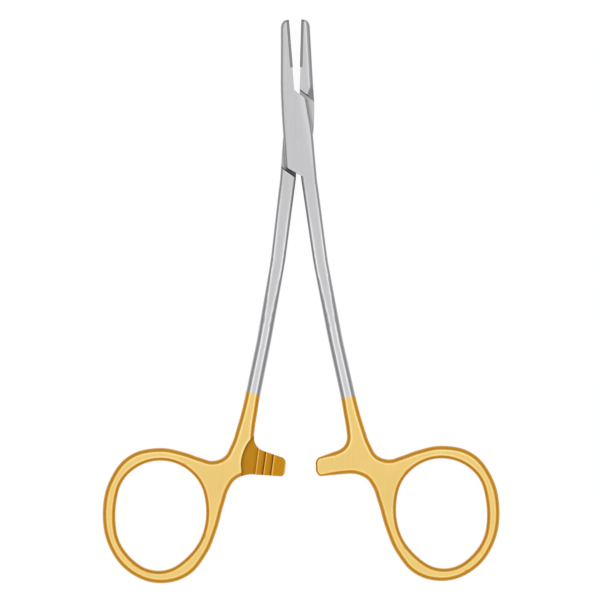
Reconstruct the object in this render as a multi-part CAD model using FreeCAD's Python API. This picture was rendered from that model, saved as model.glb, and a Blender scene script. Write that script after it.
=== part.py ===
"""Surgical needle holder with a box lock, carbide jaw inserts, a ratchet and finger rings.

The instrument lies flat: +Y points from the pivot to the jaws, +Z up through its thickness.
The origin is on the pivot axis, in the plane of the box lock's lower face.
Both halves come from one forging. It is drawn with its jaw left of the pivot and its
handle right of it, as it stands when the jaws are shut. The inner half is its mirror image.
"""
import FreeCAD, Part
import math
import os
from FreeCAD import Vector

# Box lock
box_thickness = 5.2
wall_thickness = 1.55
tongue_play = 0.05
box_half_width = 4.0
side_bar_width = 1.3
side_bar_start = 3.2
side_bar_play = 0.1
hub_radius = 3.9
slot_reach = 10.3
slot_end_play = 0.25
lower_edge_distance = 9.5
lower_edge_angle = 237.0
upper_edge_distance = 8.35
upper_edge_angle = 48.4
shoulder_slope_run = 0.3
upper_shoulder_distance = 9.22
upper_shoulder_angle = 125.0
lower_shoulder_distance = 9.94
lower_shoulder_angle = 302.5

# Pivot pin
pin_diameter = 2.1
pin_play = 0.04

# Jaws, along the line on which they meet
jaw_length = 30.2
jaw_lean = 1.1
jaw_root_y = 14.0
jaw_root_width = 3.54
jaw_tip_width = 2.2
tip_rounding_length = 2.0
jaw_tip_thickness = 2.4
jaw_taper_start = 7.0
jaw_relief = 0.12
jaw_edge_radius = 0.85
jaws_shut_gap = 0.04
root_bevel_line = ((-3.4, 16.0), (-1.9, 10.3))
root_bevel_tilt = 38.0

# Carbide inserts
insert_length = 12.7
insert_thickness = 0.72
groove_pitch = 0.8
groove_depth = 0.15
groove_angle = 45.0

# Shank: the ends of its three straight stretches, each with the distance below the pivot, centre and
# level width. Its edges are rounded more and more along the middle stretch.
shank_stretches = [((16.5, 2.47, 4.14), (33.0, 3.73, 3.90)),
                   ((37.0, 4.17, 3.86), (53.5, 6.30, 3.79)),
                   ((57.5, 6.87, 3.78), (70.5, 8.93, 3.90))]
shank_inner_start = 0.05
shank_taper_start = 12.8
shank_taper_end = 36.0
taper_blend = 5.0
upper_edge_radius = 0.85
handle_thickness = 3.7
handle_edge_radius = 1.4
opening_edge_radius = 1.2

# Finger ring: points of its outer edge and of its opening, measured from its centre
ring_centre = (31.8, -103.2)
ring_edge = [(-15.0, -3.1), (-12.7, -9.5), (-7.8, -15.8), (0.2, -18.1), (8.6, -15.0), (13.9, -8.0),
             (15.55, 0.2), (14.4, 7.9), (9.35, 15.3), (0.9, 17.85)]
ring_opening = [(12.2, 0.2), (9.3, 10.4), (0.3, 14.5), (-8.6, 10.6), (-11.95, 1.2), (-9.1, -8.8),
                (0.2, -14.8), (9.6, -9.4)]

# Ratchet arm, and the web that carries ring and arm
web_edge = [(26.3, -86.25), (22.0, -87.5), (18.9, -88.15), (15.85, -87.0), (14.05, -83.75), (12.65, -78.9)]
heel_edge = [(9.2, -91.4), (11.0, -91.95), (12.8, -93.2), (13.95, -95.1), (15.3, -99.7)]
neck_edge = [(7.5, -75.0), (7.9, -78.5), (8.05, -81.3)]
arm_root = (5.2, -84.95)
arm_heel = (6.5, -91.3)
arm_low_corner = (0.5, -91.45)
arm_tip_x = -0.75
arm_slope = 0.297
arm_edge_radius = 0.7
tooth_count = 3
tooth_pitch = 2.15
tooth_depth = 0.6
tooth_mesh = 0.2
tooth_slant = 5.0
last_tooth_x = 2.85
arm_tip_drop = 0.8

# The halves as they lie: each is turned out from shut by this angle
half_opening = 3.05

middle = box_thickness / 2
reach = 300.0


def turned(x, y, degrees):
    """A point in plan, turned about the pivot."""
    angle = math.radians(degrees)
    return Vector(x * math.cos(angle) - y * math.sin(angle), x * math.sin(angle) + y * math.cos(angle), 0)


def in_plan(points):
    return [Vector(x, y, 0) for x, y in points]


def unit(vector):
    return vector * (1 / vector.Length)


def meet(first, second, third, fourth):
    """The point in plan where the line of the first two points meets that of the last two."""
    one = second - first
    two = fourth - third
    share = ((third.x - first.x) * two.y - (third.y - first.y) * two.x) / (one.x * two.y - one.y * two.x)
    return first + one * share


def edge_line(distance, degrees):
    """Two points on the line at this distance from the pivot, square to this direction."""
    return turned(distance, 0, degrees), turned(distance, 1, degrees)


def straight(*points):
    """Straight edges through the points in turn."""
    return [Part.LineSegment(a, b).toShape() for a, b in zip(points, points[1:])]


def bowed(start, heading, end):
    """The arc that leaves its start in a given direction, in the plane of that direction and its chord."""
    chord = end - start
    square = chord.cross(heading.cross(chord))
    if square.Length < 1e-4 * chord.Length ** 2:
        return Part.LineSegment(start, end).toShape()
    turn = heading.getAngle(chord)
    bulge = unit(square) * (chord.Length / 2 * math.tan(turn / 2))
    return Part.Arc(start, (start + end) * 0.5 + bulge, end).toShape()


def arc_pair(start, start_heading, end, end_heading):
    """Two arcs that join smoothly and have these directions at their ends."""
    chord = end - start
    both = start_heading + end_heading
    bend = 2 * (1 - start_heading.dot(end_heading))
    along = chord.dot(both)
    if bend < 1e-9:
        leg = chord.dot(chord) / (2 * along)
    else:
        leg = (math.sqrt(along * along + bend * chord.dot(chord)) - along) / bend
    joint = (start + start_heading * leg + end - end_heading * leg) * 0.5
    return [bowed(start, start_heading, joint), bowed(end, end_heading * -1, joint)]


def smooth(points, start=None, end=None):
    """Arcs that run smoothly through the points; without end directions they close on themselves."""
    count = len(points)
    closed = start is None
    headings = [None] * count
    for index in range(0 if closed else 1, count if closed else count - 1):
        into = points[index] - points[index - 1]
        out = points[(index + 1) % count] - points[index]
        headings[index] = unit(unit(into) * out.Length + unit(out) * into.Length)
    if not closed:
        headings[0], headings[-1] = unit(start), unit(end)
    edges = []
    for index in range(count if closed else count - 1):
        following = (index + 1) % count
        edges += arc_pair(points[index], headings[index], points[following], headings[following])
    return edges


def slab(edges, bottom, top):
    """The plan that the edges enclose, from one height to another."""
    face = Part.Face(Part.Wire(edges))
    face.translate(Vector(0, 0, bottom))
    return face.extrude(Vector(0, 0, top - bottom))


def polygon_slab(points, bottom, top):
    return slab(straight(*points, points[0]), bottom, top)


def rims(solid, plan_edges):
    """The edges of a solid that follow these edges of its plan, above and below."""
    found = []
    for edge in solid.Edges:
        halfway = (edge.FirstParameter + edge.LastParameter) / 2
        point = edge.valueAt(halfway)
        upright = abs(edge.tangentAt(halfway).z) > 0.9
        spot = Part.Vertex(Vector(point.x, point.y, 0))
        near = min(spot.distToShape(plan_edge)[0] for plan_edge in plan_edges)
        if near < 0.001 and not upright:
            found.append(edge)
    return found


def jaw_point(x, y, lean):
    """A point given along the line on which the jaws meet."""
    return turned(x, y, lean)


def jaw_flank(y, lean):
    """A point on the jaw's outer flank, which tapers evenly to the tip."""
    share = (y - jaw_root_y) / (jaw_length - jaw_root_y)
    return jaw_point(-(jaw_root_width + (jaw_tip_width - jaw_root_width) * share), y, lean)


def lower_box_corners():
    """Where the box's lower edge meets the outer flank, and where it meets the shank's inner edge."""
    lower_edge = edge_line(lower_edge_distance, lower_edge_angle)
    flank = Vector(-box_half_width, 0, 0)
    outer = meet(flank, Vector(-box_half_width + 0.11, -8.8, 0), *lower_edge)
    inner = meet(Vector(shank_inner_start, -12, 0), Vector(shank_inner_start - 0.03, -11, 0), *lower_edge)
    return outer, inner


def outer_flank(lean):
    """The outline of box and jaw on their outer side, up to the gripping face."""
    low_corner, _ = lower_box_corners()
    shoulder = jaw_flank(jaw_length - tip_rounding_length, lean)
    root = jaw_flank(jaw_root_y, lean)
    taper = shoulder - root
    flank = [Vector(-box_half_width + 0.02, -2, 0), Vector(-box_half_width - 0.03, 6, 0), root]
    tip = [shoulder, jaw_point(-0.83 * jaw_tip_width, jaw_length - 0.3 * tip_rounding_length, lean),
           jaw_point(-0.4 * jaw_tip_width, jaw_length, lean)]
    grip = jaw_point(-jaws_shut_gap / 2, jaw_length, lean)
    edges = straight(low_corner, flank[0]) + smooth(flank, flank[0] - low_corner, taper)
    edges += straight(root, shoulder)
    edges += smooth(tip, taper, jaw_point(1, 0, lean)) + straight(tip[-1], grip)
    return edges


def upper_box_corner():
    upper_edge = edge_line(upper_edge_distance, upper_edge_angle)
    return meet(Vector(0.875 * box_half_width, 3.2, 0), Vector(0.7625 * box_half_width, 7.3, 0), *upper_edge)


def gripping_side(lean):
    """From the tip down the gripping face to the crotch, and along the box's upper edge."""
    upper_edge = edge_line(upper_edge_distance, upper_edge_angle)
    seat_y = jaw_length - insert_length
    grip = jaw_point(-jaws_shut_gap / 2, jaw_length, lean)
    seat_foot = jaw_point(-jaws_shut_gap / 2, seat_y, lean)
    relief_top = jaw_point(-jaw_relief, seat_y, lean)
    crotch = meet(relief_top, jaw_point(-jaw_relief, 0, lean), *upper_edge)
    return straight(grip, seat_foot, relief_top, crotch, upper_box_corner())


def shank_side(side):
    """The ends of the straight stretches on one side of the shank: -1 is the inner side, 1 the outer."""
    stations = shank_stretches[0] + shank_stretches[1] + shank_stretches[2]
    return [Vector(x + side * width / 2, -down, 0) for down, x, width in stations]


def along_stretches(points):
    """Straight where the points are the two ends of a stretch, with smooth arcs between."""
    edges = []
    for index in range(0, len(points), 2):
        edges += straight(points[index], points[index + 1])
        if index + 3 < len(points):
            edges += smooth(points[index + 1:index + 3], points[index + 1] - points[index],
                            points[index + 3] - points[index + 2])
    return edges


def arm_corners():
    """The ratchet arm's corners: upper root, upper end, lower end and heel."""
    root = Vector(*arm_root, 0)
    low_end = Vector(*arm_low_corner, 0)
    upper_end = root + Vector(-1, -arm_slope, 0) * (root.x - low_end.x + 0.15)
    return root, upper_end, low_end, Vector(*arm_heel, 0)


def arm_tip(upper_end, low_end):
    middle_point = Vector(arm_tip_x, (upper_end.y + low_end.y) / 2, 0)
    knuckle = Vector(0.13, 1.5, 0)
    low_knuckle = Vector(0.13, -1.5, 0)
    return [upper_end, middle_point + knuckle, middle_point, middle_point + low_knuckle, low_end]


def box_side():
    """The box's flank above the shank: two straight stretches with an arc between."""
    return [Vector(1.055 * box_half_width, -12, 0), Vector(0.985 * box_half_width, -2, 0),
            Vector(0.89 * box_half_width, 3, 0), upper_box_corner()]


def handle_side():
    """The outline from the crotch under the box down the shank, round arm and ring, and up again."""
    _, crotch = lower_box_corners()
    inner, outer, box = shank_side(-1), shank_side(1)[::-1], box_side()
    root, upper_end, low_end, heel = arm_corners()
    down_arm, back = upper_end - root, heel - low_end
    neck = in_plan(neck_edge)
    crook = Vector(root.x + 2.0, root.y + 1.25, 0)
    centre = Vector(*ring_centre, 0)
    ring = [centre + point for point in in_plan(ring_edge)]
    edges = smooth([crotch, inner[0]], Vector(0.03, -1, 0), inner[1] - inner[0]) + along_stretches(inner)
    edges += smooth([inner[-1]] + neck, inner[-1] - inner[-2], Vector(0, -1, 0))
    edges += smooth([neck[-1], crook, root], Vector(0, -1, 0), down_arm) + straight(root, upper_end)
    edges += smooth(arm_tip(upper_end, low_end), down_arm, back) + straight(low_end, heel)
    around = [heel] + in_plan(heel_edge) + ring + in_plan(web_edge) + [outer[0]]
    edges += smooth(around, back, outer[1] - outer[0])
    edges += along_stretches(outer) + smooth([outer[-1], box[0]], outer[-1] - outer[-2], box[1] - box[0])
    return edges + along_stretches(box)


def opening_edge():
    centre = Vector(*ring_centre, 0)
    return smooth([centre + point for point in in_plan(ring_opening)])


def fall(from_y, to_y, from_half, to_half, side):
    """One face of a tapering stretch seen from the side, eased in and out of the flat stretches."""
    toward = 1 if to_y > from_y else -1
    slope = (from_half - to_half) / (abs(to_y - from_y) - taper_blend)
    eased = slope * taper_blend / 2
    points = [Vector(0, from_y, middle + side * from_half),
              Vector(0, from_y + toward * taper_blend, middle + side * (from_half - eased)),
              Vector(0, to_y - toward * taper_blend, middle + side * (to_half + eased)),
              Vector(0, to_y, middle + side * to_half)]
    flat = Vector(0, toward, 0)
    edges = [bowed(points[0], flat, points[1])] + straight(points[1], points[2])
    return edges + [bowed(points[3], flat * -1, points[2])], points[3]


def thickness_profile():
    """The side view: thick at the box, tapering down the shank and up the jaw."""
    half, thin, tip_half = box_thickness / 2, handle_thickness / 2, jaw_tip_thickness / 2
    past_tip = jaw_length + taper_blend
    edges = []
    ends = []
    for side in (1, -1):
        shank_fall, shank_end = fall(-shank_taper_start, -shank_taper_end, half, thin, side)
        jaw_fall, jaw_end = fall(jaw_taper_start, past_tip, half, tip_half, side)
        foot = Vector(0, -reach, middle + side * thin)
        edges += shank_fall + jaw_fall + straight(foot, shank_end)
        edges += straight(Vector(0, -shank_taper_start, middle + side * half),
                          Vector(0, jaw_taper_start, middle + side * half))
        ends += [foot, jaw_end]
    edges += straight(ends[0], ends[2]) + straight(ends[1], ends[3])
    face = Part.Face(Part.Wire(Part.__sortEdges__(edges)))
    face.translate(Vector(-20, 0, 0))
    return face.extrude(Vector(100, 0, 0))


def edge_radius(point):
    """How far the handle side's edges are rounded at a point: more down the shank, less along the arm."""
    start, end = [down for down, _, _ in shank_stretches[1]]
    root, upper_end, low_end, heel = arm_corners()
    near, far = (upper_end.x, root.x) if point.y > (upper_end.y + low_end.y) / 2 else (low_end.x, heel.x)
    if point.y < root.y + 0.001 and point.x < far:
        share = max((point.x - near) / (far - near), 0)
        return arm_edge_radius + (handle_edge_radius - arm_edge_radius) * share
    share = min(max((-point.y - start) / (end - start), 0), 1)
    return upper_edge_radius + (handle_edge_radius - upper_edge_radius) * share


def place_on_path(point, path):
    """How far along a chain of plan edges a point lies: the edge's number and the share of it passed."""
    spot = Vector(point.x, point.y, 0)
    gaps = [Part.Vertex(spot).distToShape(edge)[0] for edge in path]
    number = gaps.index(min(gaps))
    ends = [vertex.Point for vertex in path[number].Vertexes]
    beside = path[number - 1] if number else path[1]
    joined = min(ends, key=lambda end: Part.Vertex(end).distToShape(beside)[0])
    share = (spot - joined).Length / (ends[1] - ends[0]).Length
    return number + share if number else 1 - share


def rounded(solid, path):
    """Rounds the edges that follow a path, front and back, by a radius that changes on the way."""
    document = FreeCAD.newDocument()
    base = document.addObject("Part::Feature", "base")
    base.Shape = solid
    fillet = document.addObject("Part::Fillet", "fillet")
    fillet.Base = base
    followed = rims(solid, path)
    entries = []
    onward = {}
    for number, edge in enumerate(solid.Edges, 1):
        if not any(edge.isSame(wanted) for wanted in followed):
            continue
        start, end = edge.valueAt(edge.FirstParameter), edge.valueAt(edge.LastParameter)
        in_front = start.z > middle
        ahead = place_on_path(end, path) > place_on_path(start, path)
        same_way = ahead == onward.setdefault(in_front, ahead)
        first, last = edge_radius(start), edge_radius(end)
        entries.append((number, first, last) if same_way else (number, last, first))
    fillet.Edges = entries
    document.recompute()
    return fillet.Shape.copy()


def forging(lean):
    """Jaw, box, shank, ring and arm in one piece with rounded edges, before its lock is cut."""
    outer, grip, handle, opening = outer_flank(lean), gripping_side(lean), handle_side(), opening_edge()
    low_corner, crotch = lower_box_corners()
    plan = handle + grip + straight(low_corner, crotch) + outer
    body = slab(Part.__sortEdges__(plan), -1, box_thickness + 1)
    body = body.cut(slab(opening, -1, box_thickness + 1)).common(thickness_profile())
    body = body.makeFillet(opening_edge_radius, rims(body, opening))
    body = body.makeFillet(jaw_edge_radius, rims(body, outer))
    return rounded(body, handle)


def ratchet_recess():
    """What is cut from the front of the arm: a step down to the teeth."""
    floor = middle + tooth_mesh - tooth_depth
    crest = middle + tooth_mesh
    first_x = last_tooth_x + (tooth_count - 1) * tooth_pitch
    profile = [(20.0, middle + 10), (20.0, floor), (first_x, floor)]
    for index in range(tooth_count):
        tooth_x = first_x - index * tooth_pitch
        profile.append((tooth_x - 0.1, crest))
        if index < tooth_count - 1:
            profile.append((tooth_x - tooth_pitch, floor))
    profile += [(arm_tip_x, crest - arm_tip_drop), (arm_tip_x - 5, crest - arm_tip_drop)]
    profile.append((arm_tip_x - 5, middle + 10))
    slant = math.tan(math.radians(tooth_slant))
    reference_y = -88.3
    start_y, end_y = -78.0, -96.0
    corners = [Vector(x + slant * (reference_y - start_y), start_y, z) for x, z in profile]
    face = Part.Face(Part.Wire(straight(*corners, corners[0])))
    teeth = face.extrude(Vector(slant * (start_y - end_y), end_y - start_y, 0))
    border = in_plan([(7.4, -80.4), (9.2, -82.2), (10.5, -84.6), (11.25, -88.2), (11.0, -91.0)])
    corner, far = Vector(11.0, -96, 0), Vector(-8, -96, 0)
    edges = smooth(border, border[1] - border[0], corner - border[-1])
    edges += straight(border[-1], corner, far, Vector(-8, -80.4, 0), border[0])
    return teeth.common(slab(edges, 0, middle + 8))


def insert_seat(lean):
    """The part of the jaw that the carbide insert takes up."""
    foot = jaw_length - insert_length
    points = [jaw_point(-insert_thickness, foot, lean), jaw_point(1, foot, lean),
              jaw_point(1, jaw_length + 1, lean), jaw_point(-insert_thickness, jaw_length + 1, lean)]
    return polygon_slab(points, -1, box_thickness + 1)


def serration(lean):
    """Two sets of crossing grooves for the insert's gripping face."""
    foot = jaw_length - insert_length
    face_x = -jaws_shut_gap / 2
    grooves = []
    for tilt in (groove_angle, -groove_angle):
        family = []
        step = groove_pitch / math.sin(math.radians(groove_angle))
        for index in range(int((insert_length + box_thickness) / step)):
            along = foot - box_thickness / 2 + index * step
            outline = [Vector(face_x - groove_depth, 0, 0),
                       Vector(face_x + groove_depth, groove_depth * 1.6, 0),
                       Vector(face_x + groove_depth, -groove_depth * 1.6, 0)]
            ridge = polygon_slab(outline, -6, 6)
            ridge.rotate(Vector(0, 0, 0), Vector(1, 0, 0), tilt)
            ridge.translate(Vector(0, along, middle))
            ridge.rotate(Vector(0, 0, 0), Vector(0, 0, 1), lean)
            family.append(ridge)
        grooves.append(family)
    return grooves


def slot():
    """The opening through the box in which the other half turns, between its two walls."""
    bottom, top = wall_thickness, box_thickness - wall_thickness
    inner_x = box_half_width - side_bar_width
    far = 3 * box_half_width
    core = Part.makeCylinder(slot_reach, top - bottom, Vector(0, 0, bottom))
    core = core.common(Part.makeBox(2 * inner_x, 30, top - bottom, Vector(-inner_x, -15, bottom)))
    crotch_low = jaw_point(-jaw_relief, 0, jaw_lean)
    crotch_high = jaw_point(-jaw_relief, 15, jaw_lean)
    right = polygon_slab([crotch_low, Vector(0, -side_bar_start, 0), Vector(far, -side_bar_start, 0),
                          Vector(far, 15, 0), crotch_high], bottom, top)
    left = polygon_slab([Vector(0, side_bar_start, 0), Vector(-far, side_bar_start, 0),
                         Vector(-far, -15, 0), Vector(shank_inner_start, -15, 0),
                         Vector(shank_inner_start, 0, 0)], bottom, top)
    return core.fuse([right, left])


def thinned_layer(distance, degrees):
    """The layer in front of the tongue, up to a shoulder that slopes up and outward."""
    low = box_thickness - wall_thickness - tongue_play
    depth = box_thickness - low
    far = 20.0
    above = low + 2 * depth
    outline = [Vector(-far, 0, low), Vector(distance, 0, low),
               Vector(distance + 2 * shoulder_slope_run, 0, above), Vector(-far, 0, above)]
    layer = Part.Face(Part.Wire(straight(*outline, outline[0]))).extrude(Vector(0, 2 * far, 0))
    layer.translate(Vector(0, -far, 0))
    layer.rotate(Vector(0, 0, 0), Vector(0, 0, 1), degrees)
    return layer


def tongue_thinning():
    """What is cut in front of and behind the tongue, between the shoulders, so that it passes the slot."""
    front = thinned_layer(upper_shoulder_distance, upper_shoulder_angle)
    front = front.common(thinned_layer(lower_shoulder_distance, lower_shoulder_angle))
    return [front, front.mirror(Vector(0, 0, middle), Vector(0, 0, 1))]


def root_bevels():
    """The flats ground on the jaw's outer edges, front and back, running out above and ending at its shoulder."""
    top, lower = [Vector(x, y, box_thickness) for x, y in root_bevel_line]
    along = unit(lower - top)
    outward = Vector(along.y, -along.x, 0)
    shoulder = edge_line(upper_shoulder_distance - shoulder_slope_run / 2, upper_shoulder_angle)
    foot = meet(top, lower, *shoulder)
    size = 6.0
    corners = [top]
    for corner, heading in ((top, outward), (foot, shoulder[1] - shoulder[0])):
        drop = size * heading.dot(outward) * math.tan(math.radians(root_bevel_tilt))
        corners.append(corner + heading * size - Vector(0, 0, drop))
    corners.append(foot)
    face = Part.Face(Part.Wire(straight(*corners, top)))
    front = face.extrude(Vector(0, 0, size))
    return [front, front.mirror(Vector(0, 0, middle), Vector(0, 0, 1))]


def tongue_notches(lean):
    """The sides and ends of the tongue: clear of the side bars and of the slot's ends."""
    inner_x = box_half_width - side_bar_width - side_bar_play
    low, high = -1, box_thickness + 1
    hub = Part.makeCylinder(hub_radius, high - low, Vector(0, 0, low))
    core = Part.makeCylinder(slot_reach - slot_end_play, high - low, Vector(0, 0, low))
    jaw_foot = jaw_point(-jaw_relief, 0, lean)
    jaw_line = jaw_point(-jaw_relief, 15, lean)
    upper_right = polygon_slab([Vector(inner_x, 0, 0), Vector(12, 0, 0), Vector(12, 15, 0),
                                Vector(inner_x, 15, 0)], low, high)
    lower_left = polygon_slab([Vector(-inner_x, 0, 0), Vector(-12, 0, 0), Vector(-12, -15, 0),
                               Vector(-inner_x, -15, 0)], low, high)
    upper_end = polygon_slab([jaw_foot, Vector(12, 0, 0), Vector(12, 15, 0), jaw_line], low, high)
    lower_end = polygon_slab([Vector(shank_inner_start, 0, 0), Vector(-12, 0, 0), Vector(-12, -15, 0),
                              Vector(shank_inner_start, -15, 0)], low, high)
    return [upper_right.cut(hub), lower_left.cut(hub), upper_end.cut(core), lower_end.cut(core)]


def bore(diameter):
    return Part.makeCylinder(diameter / 2, box_thickness + 2, Vector(0, 0, -1))


def laid(shape, degrees):
    """The shape as it lies, turned about the pivot from its place with the jaws shut."""
    shape.rotate(Vector(0, 0, 0), Vector(0, 0, 1), degrees)
    return shape


def mirrored(shape):
    return shape.mirror(Vector(0, 0, 0), Vector(1, 0, 0))


def insert(blank, lean):
    """A carbide insert with a cross-cut gripping face, in the left jaw's place."""
    body = blank.common(insert_seat(lean))
    for family in serration(lean):
        body = body.cut(family)
    return body


def box_half(blank):
    recess = ratchet_recess().mirror(Vector(0, 0, middle), Vector(0, 0, 1))
    body = blank.cut([slot(), insert_seat(jaw_lean), bore(pin_diameter), recess])
    return laid(body, half_opening)


def inner_half(blank):
    body = blank.cut(tongue_thinning() + [insert_seat(-jaw_lean), bore(pin_diameter + 2 * pin_play)])
    body = body.cut(tongue_notches(-jaw_lean) + root_bevels() + [ratchet_recess()])
    return laid(mirrored(body), -half_opening)


def pivot_pin():
    return Part.makeCylinder(pin_diameter / 2, box_thickness)


def export(name, shape):
    solids = shape.Solids
    result = solids[0] if len(solids) == 1 else Part.makeCompound(solids)
    result.exportStep("parts/" + name + ".step")
    print(name, len(solids), "solid", round(result.Volume, 1), "mm3", result.isValid())


os.makedirs("parts", exist_ok=True)
left_blank = forging(jaw_lean)
right_blank = forging(-jaw_lean)
export("box_half", box_half(left_blank))
export("inner_half", inner_half(right_blank))
export("pivot_pin", pivot_pin())
export("left_jaw_insert", laid(insert(left_blank, jaw_lean), half_opening))
export("right_jaw_insert", laid(mirrored(insert(right_blank, -jaw_lean)), -half_opening))
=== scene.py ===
"""The looks of a surgical needle holder that lies open on a pale table, seen from straight above."""

import math

import bpy
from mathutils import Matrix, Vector

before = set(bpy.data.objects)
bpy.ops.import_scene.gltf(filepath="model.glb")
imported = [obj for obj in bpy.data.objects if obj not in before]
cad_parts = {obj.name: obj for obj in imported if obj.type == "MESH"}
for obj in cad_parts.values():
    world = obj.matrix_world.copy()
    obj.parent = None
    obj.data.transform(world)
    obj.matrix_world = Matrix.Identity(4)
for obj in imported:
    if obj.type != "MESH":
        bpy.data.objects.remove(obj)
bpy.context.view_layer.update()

MM = 0.001

# The photograph: millimetres on the table to one pixel, where the pivot stands in it, and its tilt
PHOTO_SIZE = 600
MM_PER_PIXEL = 0.266
PIVOT_PIXEL = (298.15, 133.0)
PHOTO_ROLL = 0.45
CAMERA_HEIGHT = 1.8

# Steel, plating, carbide and table, as linear colours; all but the plain steel, gold, carbide and table are
# tones of painted highlight and painted shade
STEEL = (0.54, 0.54, 0.55, 1)
HIGHLIGHT_STEEL = (0.88, 0.885, 0.90, 1)
EDGE_SHADE_STEEL = (0.35, 0.35, 0.36, 1)
FLANK_SHADE_STEEL = (0.50, 0.50, 0.51, 1)
TONGUE_SHADE_STEEL = (0.46, 0.46, 0.47, 1)
SHADED_STEEL = (0.13, 0.13, 0.135, 1)
GOLD = (0.81, 0.575, 0.19, 1)
HIGHLIGHT_GOLD = (0.98, 0.80, 0.38, 1)
EDGE_SHADE_GOLD = (0.66, 0.31, 0.030, 1)
RATCHET_SHADE_GOLD = (0.50, 0.225, 0.013, 1)
CREST_HIGHLIGHT_GOLD = (0.86, 0.44, 0.08, 1)
CARBIDE = (0.24, 0.24, 0.245, 1)
PALE_TABLE = (0.08, 0.08, 0.08, 1)
TABLE_GLOW = 0.945
TABLE_HALF = 3.0
TABLE_DROP = 0.02

# The studio's light by how steeply it comes down: 0 is level, 1 is from straight above
CEILING = ((0.0, 0.50), (0.20, 0.56), (0.45, 0.72), (0.65, 0.92), (0.82, 1.18), (0.93, 1.22),
           (0.98, 1.0), (1.0, 0.96))

# Lines in plan, each by the direction that it faces, in degrees, and its distance from the pivot:
# where the plating starts, the tongue's lower shoulder, the box's right edge and the right jaw's
PLATING = {"inner_half": (251.3, 69.5), "box_half": (280.05, 71.5)}
LOWER_SHOULDER = (234.5, 9.9)
BOX_FLANK = (10.3, 3.59)
JAW_FLANK = (2.8, 4.68)

# Heights above the table, in millimetres
RATCHET_FLOOR = 2.2
RATCHET_CREST = 2.8
TONGUE_BACK = 1.6
TONGUE_FRONT = 3.6
MIDDLE = 2.6

# Where a finish, a painted highlight or a painted shade fades over, in millimetres: up from the pivot, then
# down from it, then out from it
ABOVE_PIN = (1.0, 4.0)
JAW_START = (11.5, 12.5)
TONGUE_END = (13.0, 14.0)
RIM_HIGHLIGHT_SHANK = (4.0, 34.0)
BOX_END = (10.0, 20.0)
LIGHTER_SHANK = (30.0, 66.0)
HANDLE_START = (84.0, 92.0)
PIN_RING = (0.88, 1.04)

# The radius over which the flats' edges are taken as rounded for their painted highlight, and how far a
# corner's painted shade reaches, in millimetres
RIM_WIDTH = 1.15
CORNER_REACH = 1.1


class Amount:
    """A number that changes over a surface. Sums on it become Math nodes of its finish."""

    def __init__(self, finish, socket):
        self.finish = finish
        self.socket = socket

    def math(self, operation, first, second):
        node = self.finish.add("ShaderNodeMath", {"operation": operation}, {0: first, 1: second})
        return Amount(self.finish, node.outputs[0])

    def __add__(self, other):
        return self.math("ADD", self, other)

    def __radd__(self, other):
        return self.math("ADD", other, self)

    def __sub__(self, other):
        return self.math("SUBTRACT", self, other)

    def __rsub__(self, other):
        return self.math("SUBTRACT", other, self)

    def __mul__(self, other):
        return self.math("MULTIPLY", self, other)

    def __rmul__(self, other):
        return self.math("MULTIPLY", other, self)

    def __pow__(self, other):
        return self.math("POWER", self, other)

    def __abs__(self):
        return self.math("ABSOLUTE", self, 0.0)


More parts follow.
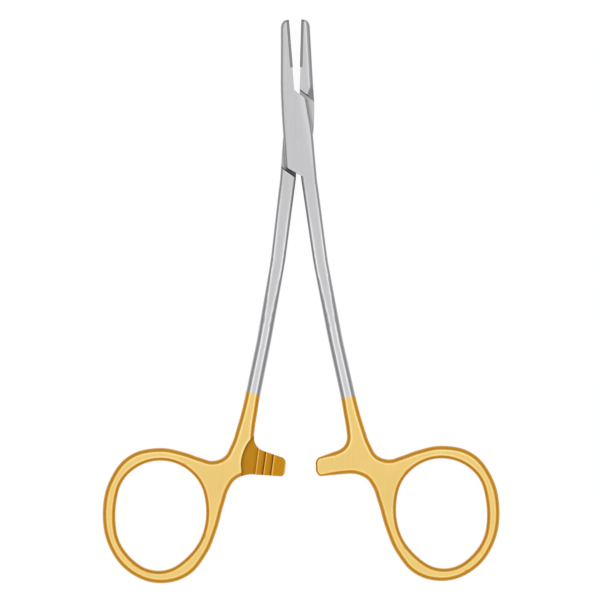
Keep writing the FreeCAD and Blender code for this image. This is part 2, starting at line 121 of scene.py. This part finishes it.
class Finish:
    """The nodes of a material or of the studio's light."""

    def __init__(self, tree):
        self.tree = tree
        tree.nodes.clear()

    def add(self, kind, settings=None, inputs=None):
        """Adds a node: its settings first, then the values or links of its sockets."""
        node = self.tree.nodes.new(kind)
        for name, value in (settings or {}).items():
            if name == "stops":
                ramp = node.color_ramp
                while len(ramp.elements) < len(value):
                    ramp.elements.new(1.0)
                for element, (place, colour) in zip(ramp.elements, value):
                    element.position = place
                    element.color = colour
            else:
                setattr(node, name, value)
        for key, value in (inputs or {}).items():
            if isinstance(value, Amount):
                value = value.socket
            if isinstance(value, bpy.types.NodeSocket):
                self.tree.links.new(value, node.inputs[key])
            else:
                node.inputs[key].default_value = value
        return node

    def place(self):
        """The surface point in the object's own coordinates, in millimetres: vector, x, y and z."""
        point = self.add("ShaderNodeTexCoord").outputs["Object"]
        scaled = self.add("ShaderNodeVectorMath", {"operation": "SCALE"}, {0: point, "Scale": 1 / MM})
        parts = self.add("ShaderNodeSeparateXYZ", None, {0: scaled.outputs[0]})
        return scaled.outputs[0], *[Amount(self, parts.outputs[i]) for i in range(3)]

    def upward(self, normal):
        """The part of a normal that points up: 1 on the front's flats, 0 on flanks, -1 on the back's."""
        return Amount(self, self.add("ShaderNodeSeparateXYZ", None, {0: normal}).outputs[2])

    def facing(self):
        """How far the surface looks up."""
        return self.upward(self.add("ShaderNodeNewGeometry").outputs["Normal"])

    def crown(self, radius):
        """How far the surface would look up if it were rounded off over this radius, in millimetres."""
        return self.upward(self.add("ShaderNodeBevel", {"samples": 6}, {"Radius": radius * MM}).outputs[0])

    def shelter(self, distance):
        """How far other faces close a point in within this distance: 1 in a tight corner."""
        node = self.add("ShaderNodeAmbientOcclusion", {"samples": 8}, {"Distance": distance * MM})
        return 1 - Amount(self, node.outputs["AO"])

    def step(self, amount, low, high):
        """0 below the low value, 1 above the high one, smooth between."""
        node = self.add("ShaderNodeMapRange", {"interpolation_type": "SMOOTHSTEP"},
                        {"Value": amount, "From Min": low, "From Max": high})
        return Amount(self, node.outputs["Result"])

    def blend(self, share, first, second):
        """A colour between two colours."""
        node = self.add("ShaderNodeMix", {"data_type": "RGBA"}, {0: share, 6: first, 7: second})
        return node.outputs[2]

    def shade(self, colour, factor):
        """A colour made darker or lighter by a number that changes over the surface."""
        grey = self.add("ShaderNodeCombineColor", None, {0: factor, 1: factor, 2: factor})
        node = self.add("ShaderNodeMix", {"data_type": "RGBA", "blend_type": "MULTIPLY"},
                        {0: 1.0, 6: colour, 7: grey.outputs[0]})
        return node.outputs[2]

    def grain(self, point, across, along, up, detail=2.0):
        """Noise in lines: how many cells to a millimetre across, along and through the part."""
        stretched = self.add("ShaderNodeVectorMath", {"operation": "MULTIPLY"},
                             {0: point, 1: (across, along, up)})
        node = self.add("ShaderNodeTexNoise", {"noise_dimensions": "3D"},
                        {"Vector": stretched.outputs[0], "Scale": 1.0, "Detail": detail})
        return Amount(self, node.outputs["Fac"])

    def relief(self, height, depth, strength):
        """Fine marks this deep, in millimetres."""
        bump = self.add("ShaderNodeBump", None,
                        {"Height": height, "Distance": depth * MM, "Strength": strength})
        return bump.outputs["Normal"]

    def surface(self, inputs):
        shader = self.add("ShaderNodeBsdfPrincipled", None, inputs)
        self.add("ShaderNodeOutputMaterial", None, {"Surface": shader.outputs[0]})


def material(name):
    made = bpy.data.materials.new(name)
    made.use_nodes = True
    return made, Finish(made.node_tree)


def dress(node, made):
    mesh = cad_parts[node].data
    mesh.materials.clear()
    mesh.materials.append(made)


def toward(direction, x, y):
    """How far a point lies in a direction, in plan and in degrees."""
    return x * math.cos(math.radians(direction)) + y * math.sin(math.radians(direction))


def painted_rim_highlight(finish):
    """The painted highlight along a flat's edges, where the surface turns just off level."""
    return 1 - finish.step(abs(finish.crown(RIM_WIDTH)), 0.988, 0.9990)


def brushed_steel(finish, point, facing, rim_highlight, y):
    """Satin steel: the belt's fine lines run the length of the piece; the rounded edges get painted shade,
    the flats' rims a painted highlight.
    """
    lines = finish.grain(point, 7.0, 0.12, 7.0)
    streaks = finish.grain(point, 1.6, 0.03, 1.6, 1.0)
    flat = finish.step(abs(facing), 0.940, 0.992)
    # Painted shade on the rounded edges, a lighter painted shade on their steeper part; a painted highlight
    # on the flats' rims down the shank, and a faint one on the lower shank's flats.
    edge = finish.blend(finish.step(abs(facing), 0.30, 0.75), FLANK_SHADE_STEEL, EDGE_SHADE_STEEL)
    shank_highlight = rim_highlight * finish.step(0 - y, *RIM_HIGHLIGHT_SHANK) + 0.08 * finish.step(0 - y, *LIGHTER_SHANK)
    colour = finish.blend(flat, edge, finish.blend(shank_highlight, STEEL, HIGHLIGHT_STEEL))
    colour = finish.shade(colour, 0.90 + 0.12 * lines + 0.08 * streaks)
    return colour, lines, flat


def tongue_shade_mask(finish, facing, y, z):
    """The tongue's faces where they show beside and below the box's walls: the mask of their painted shade.
    """
    below_front = 1 - finish.step(z, TONGUE_FRONT + 0.02, TONGUE_FRONT + 0.06)
    above_back = finish.step(z, TONGUE_BACK - 0.06, TONGUE_BACK - 0.02)
    level = finish.step(abs(facing), 0.2, 0.5)
    return below_front * above_back * level * (1 - finish.step(abs(y), *TONGUE_END))


def lock_and_jaw(finish, steel, facing, x, y, z):
    """The inner half's tongue in painted shade, with a painted shadow in its lower shoulder's corner, and
    its jaw's wide rounded edge with a painted highlight and a painted shade band.
    """
    direction, distance = LOWER_SHOULDER
    # Painted shadow in the corner of the lower shoulder, left of the box's edge.
    corner_shadow = finish.step(toward(direction, x, y), distance - 1.1, distance - 0.7)
    corner_shadow = corner_shadow * finish.step(x, -3.6, -3.0)
    # Painted shade on the tongue's faces, weaker above the pin.
    tongue = tongue_shade_mask(finish, facing, y, z) * (1 - 0.6 * finish.step(y, *ABOVE_PIN))
    steel = finish.blend(tongue, steel, finish.blend(corner_shadow, TONGUE_SHADE_STEEL, SHADED_STEEL))
    direction, distance = JAW_FLANK
    out = toward(direction, x, y)
    jaw = finish.step(y, *JAW_START)
    # Painted highlight just inside the jaw's rounded edge, and a painted shade band over the edge.
    sheen = finish.step(out, distance - 1.45, distance - 1.05) * jaw
    steel = finish.blend(sheen * 0.45, steel, HIGHLIGHT_STEEL)
    return finish.blend(finish.step(out, distance - 1.0, distance - 0.8) * jaw, steel, EDGE_SHADE_STEEL)


def box_sheen(finish, steel, flat, x, y):
    """The box half's flat with a painted highlight towards its right edge, down to the box's lower end."""
    direction, distance = BOX_FLANK
    sheen = finish.step(toward(direction, x, y), distance - 2.2, distance - 0.7) * flat
    return finish.blend(0.25 * sheen * (1 - finish.step(0 - y, *BOX_END)), steel, HIGHLIGHT_STEEL)


def gold_plating(finish, point, facing, flat, rim, y, z):
    """Satin gold: painted highlight on the rims, orange painted shade on the rounded edges, and the
    ratchet's floor in painted shade with painted highlight on its crests.
    """
    lines = finish.grain(point, 4.5, 0.10, 4.5)
    clouds = finish.grain(point, 0.25, 0.12, 0.25, 3.0)
    shank = 1 - finish.step(0 - y, *HANDLE_START)
    # Painted highlight on the rims, stronger along the shank than on the handle; orange painted shade on
    # the rounded edges.
    gold = finish.blend(rim * (0.35 + 0.55 * shank), GOLD, HIGHLIGHT_GOLD)
    gold = finish.blend(flat, EDGE_SHADE_GOLD, gold)
    # Painted shade on the ratchet's floor, a painted highlight on its crests.
    in_recess = (finish.step(facing, 0.2, 0.5) * finish.step(z, RATCHET_FLOOR - 0.2, RATCHET_FLOOR - 0.1)
                 * (1 - finish.step(z, RATCHET_CREST + 0.03, RATCHET_CREST + 0.06)))
    crest = finish.step(z, RATCHET_CREST - 0.12, RATCHET_CREST - 0.03)
    gold = finish.blend(in_recess, gold, finish.blend(crest, RATCHET_SHADE_GOLD, CREST_HIGHLIGHT_GOLD))
    return finish.shade(gold, 0.88 + 0.14 * lines + 0.10 * clouds), lines


def half_finish(node):
    """Brushed steel down to the border of the plating, satin gold below it."""
    made, finish = material(node + "_finish")
    point, x, y, z = finish.place()
    facing = finish.facing()
    rim = painted_rim_highlight(finish)
    steel, steel_lines, flat = brushed_steel(finish, point, facing, rim, y)
    if node == "inner_half":
        steel = lock_and_jaw(finish, steel, facing, x, y, z)
    else:
        steel = box_sheen(finish, steel, flat, x, y)
    gold, gold_lines = gold_plating(finish, point, facing, flat, rim, y, z)
    direction, distance = PLATING[node]
    waver = finish.grain(point, 1.2, 1.2, 1.2) * 0.25
    plated = finish.step(toward(direction, x, y) + waver, distance - 0.15, distance + 0.45)
    # Painted shade in corners and tight gaps, weaker above the pin.
    corner_shade = (0.8 - 0.4 * finish.step(y, *ABOVE_PIN)) * finish.shelter(CORNER_REACH)
    colour = finish.shade(finish.blend(plated, steel, gold), 1 - corner_shade)
    patches = finish.grain(point, 0.5, 0.2, 0.5, 4.0)
    rough = 0.30 + 0.10 * steel_lines - 0.04 * plated + 0.06 * patches
    height = steel_lines * (1 - plated) + gold_lines * plated
    finish.surface({"Base Color": colour, "Metallic": 1.0, "Roughness": rough,
                    "Normal": finish.relief(height, 0.012, 0.5)})
    dress(node, made)


def pin_finish():
    """The pin's ends are ground flush with the box: only a faint ring shows."""
    made, finish = material("pin_finish")
    point, x, y, _ = finish.place()
    steel, lines, _ = brushed_steel(finish, point, finish.facing(), 0.0, y)
    radius = (x * x + y * y) ** 0.5
    colour = finish.shade(steel, 0.985 - 0.10 * finish.step(radius, *PIN_RING))
    finish.surface({"Base Color": colour, "Metallic": 1.0, "Roughness": 0.32 + 0.10 * lines,
                    "Normal": finish.relief(lines, 0.012, 0.5)})
    dress("pivot_pin", made)


def carbide_finish(node):
    """Dark sintered carbide with a fine grain and faint smears along it."""
    made, finish = material(node + "_finish")
    point, _, _, _ = finish.place()
    grains = finish.grain(point, 9.0, 9.0, 9.0, 3.0)
    smears = finish.grain(point, 1.0, 0.3, 1.0)
    colour = finish.shade(CARBIDE, 0.80 + 0.25 * grains + 0.20 * smears)
    finish.surface({"Base Color": colour, "Metallic": 1.0, "Roughness": 0.38 + 0.12 * grains,
                    "Normal": finish.relief(grains, 0.01, 0.4)})
    dress(node, made)


def table():
    """A plain pale table just under the instrument."""
    mesh = bpy.data.meshes.new("table")
    corners = [(x * TABLE_HALF, y * TABLE_HALF, 0) for x, y in ((-1, -1), (1, -1), (1, 1), (-1, 1))]
    mesh.from_pydata(corners, [], [(0, 1, 2, 3)])
    top = bpy.data.objects.new("table", mesh)
    bpy.context.scene.collection.objects.link(top)
    top.location.z = -TABLE_DROP * MM
    made, finish = material("table_finish")
    point, _, _, _ = finish.place()
    tone = finish.grain(point, 0.02, 0.02, 0.02)
    colour = finish.shade(PALE_TABLE, 0.99 + 0.02 * tone)
    path = finish.add("ShaderNodeLightPath")
    seen = path.outputs["Is Camera Ray"], path.outputs["Is Glossy Ray"], path.outputs["Is Transmission Ray"]
    camera_ray, glossy, through = [Amount(finish, socket) for socket in seen]
    glow = (camera_ray + glossy + through) * TABLE_GLOW
    lift = finish.add("ShaderNodeCombineColor", None, {0: glow, 1: glow, 2: glow})
    finish.surface({"Base Color": colour, "Roughness": 0.9, "Specular IOR Level": 0.0,
                    "Emission Color": lift.outputs[0], "Emission Strength": 1.0})
    mesh.materials.append(made)


def studio_light():
    """A bright ceiling that falls off towards darker walls; the camera sees a white backdrop."""
    world = bpy.data.worlds.new("studio")
    bpy.context.scene.world = world
    world.use_nodes = True
    finish = Finish(world.node_tree)
    direction = finish.add("ShaderNodeTexCoord").outputs["Generated"]
    height = finish.add("ShaderNodeSeparateXYZ", None, {0: direction}).outputs[2]
    stops = [(place, (level, level, level, 1)) for place, level in CEILING]
    ramp = finish.add("ShaderNodeValToRGB", {"stops": stops}, {0: height})
    path = finish.add("ShaderNodeLightPath")
    camera_ray = Amount(finish, path.outputs["Is Camera Ray"])
    through = Amount(finish, path.outputs["Is Transmission Ray"])
    colour = finish.blend(camera_ray + through, ramp.outputs[0], (1, 1, 1, 1))
    background = finish.add("ShaderNodeBackground", None, {"Color": colour, "Strength": 1.0})
    finish.add("ShaderNodeOutputWorld", None, {"Surface": background.outputs[0]})


def camera():
    """Straight above the table with a long lens, framed as the photograph is."""
    width = PHOTO_SIZE * MM_PER_PIXEL * MM
    roll = math.radians(PHOTO_ROLL)
    right = (PHOTO_SIZE / 2 - PIVOT_PIXEL[0]) * MM_PER_PIXEL * MM
    up = (PIVOT_PIXEL[1] - PHOTO_SIZE / 2) * MM_PER_PIXEL * MM
    lens = bpy.data.cameras.new("camera")
    lens.sensor_width = 36.0
    lens.lens = lens.sensor_width * CAMERA_HEIGHT / width
    lens.clip_end = 20.0
    eye = bpy.data.objects.new("camera", lens)
    bpy.context.scene.collection.objects.link(eye)
    eye.rotation_euler = (0, 0, -roll)
    across = right * math.cos(roll) + up * math.sin(roll)
    along = up * math.cos(roll) - right * math.sin(roll)
    eye.location = Vector((across, along, CAMERA_HEIGHT + MIDDLE * MM))
    bpy.context.scene.camera = eye


for half in PLATING:
    half_finish(half)
pin_finish()
for insert in ("left_jaw_insert", "right_jaw_insert"):
    carbide_finish(insert)
table()
studio_light()
camera()
bpy.context.scene.view_settings.view_transform = "Standard"
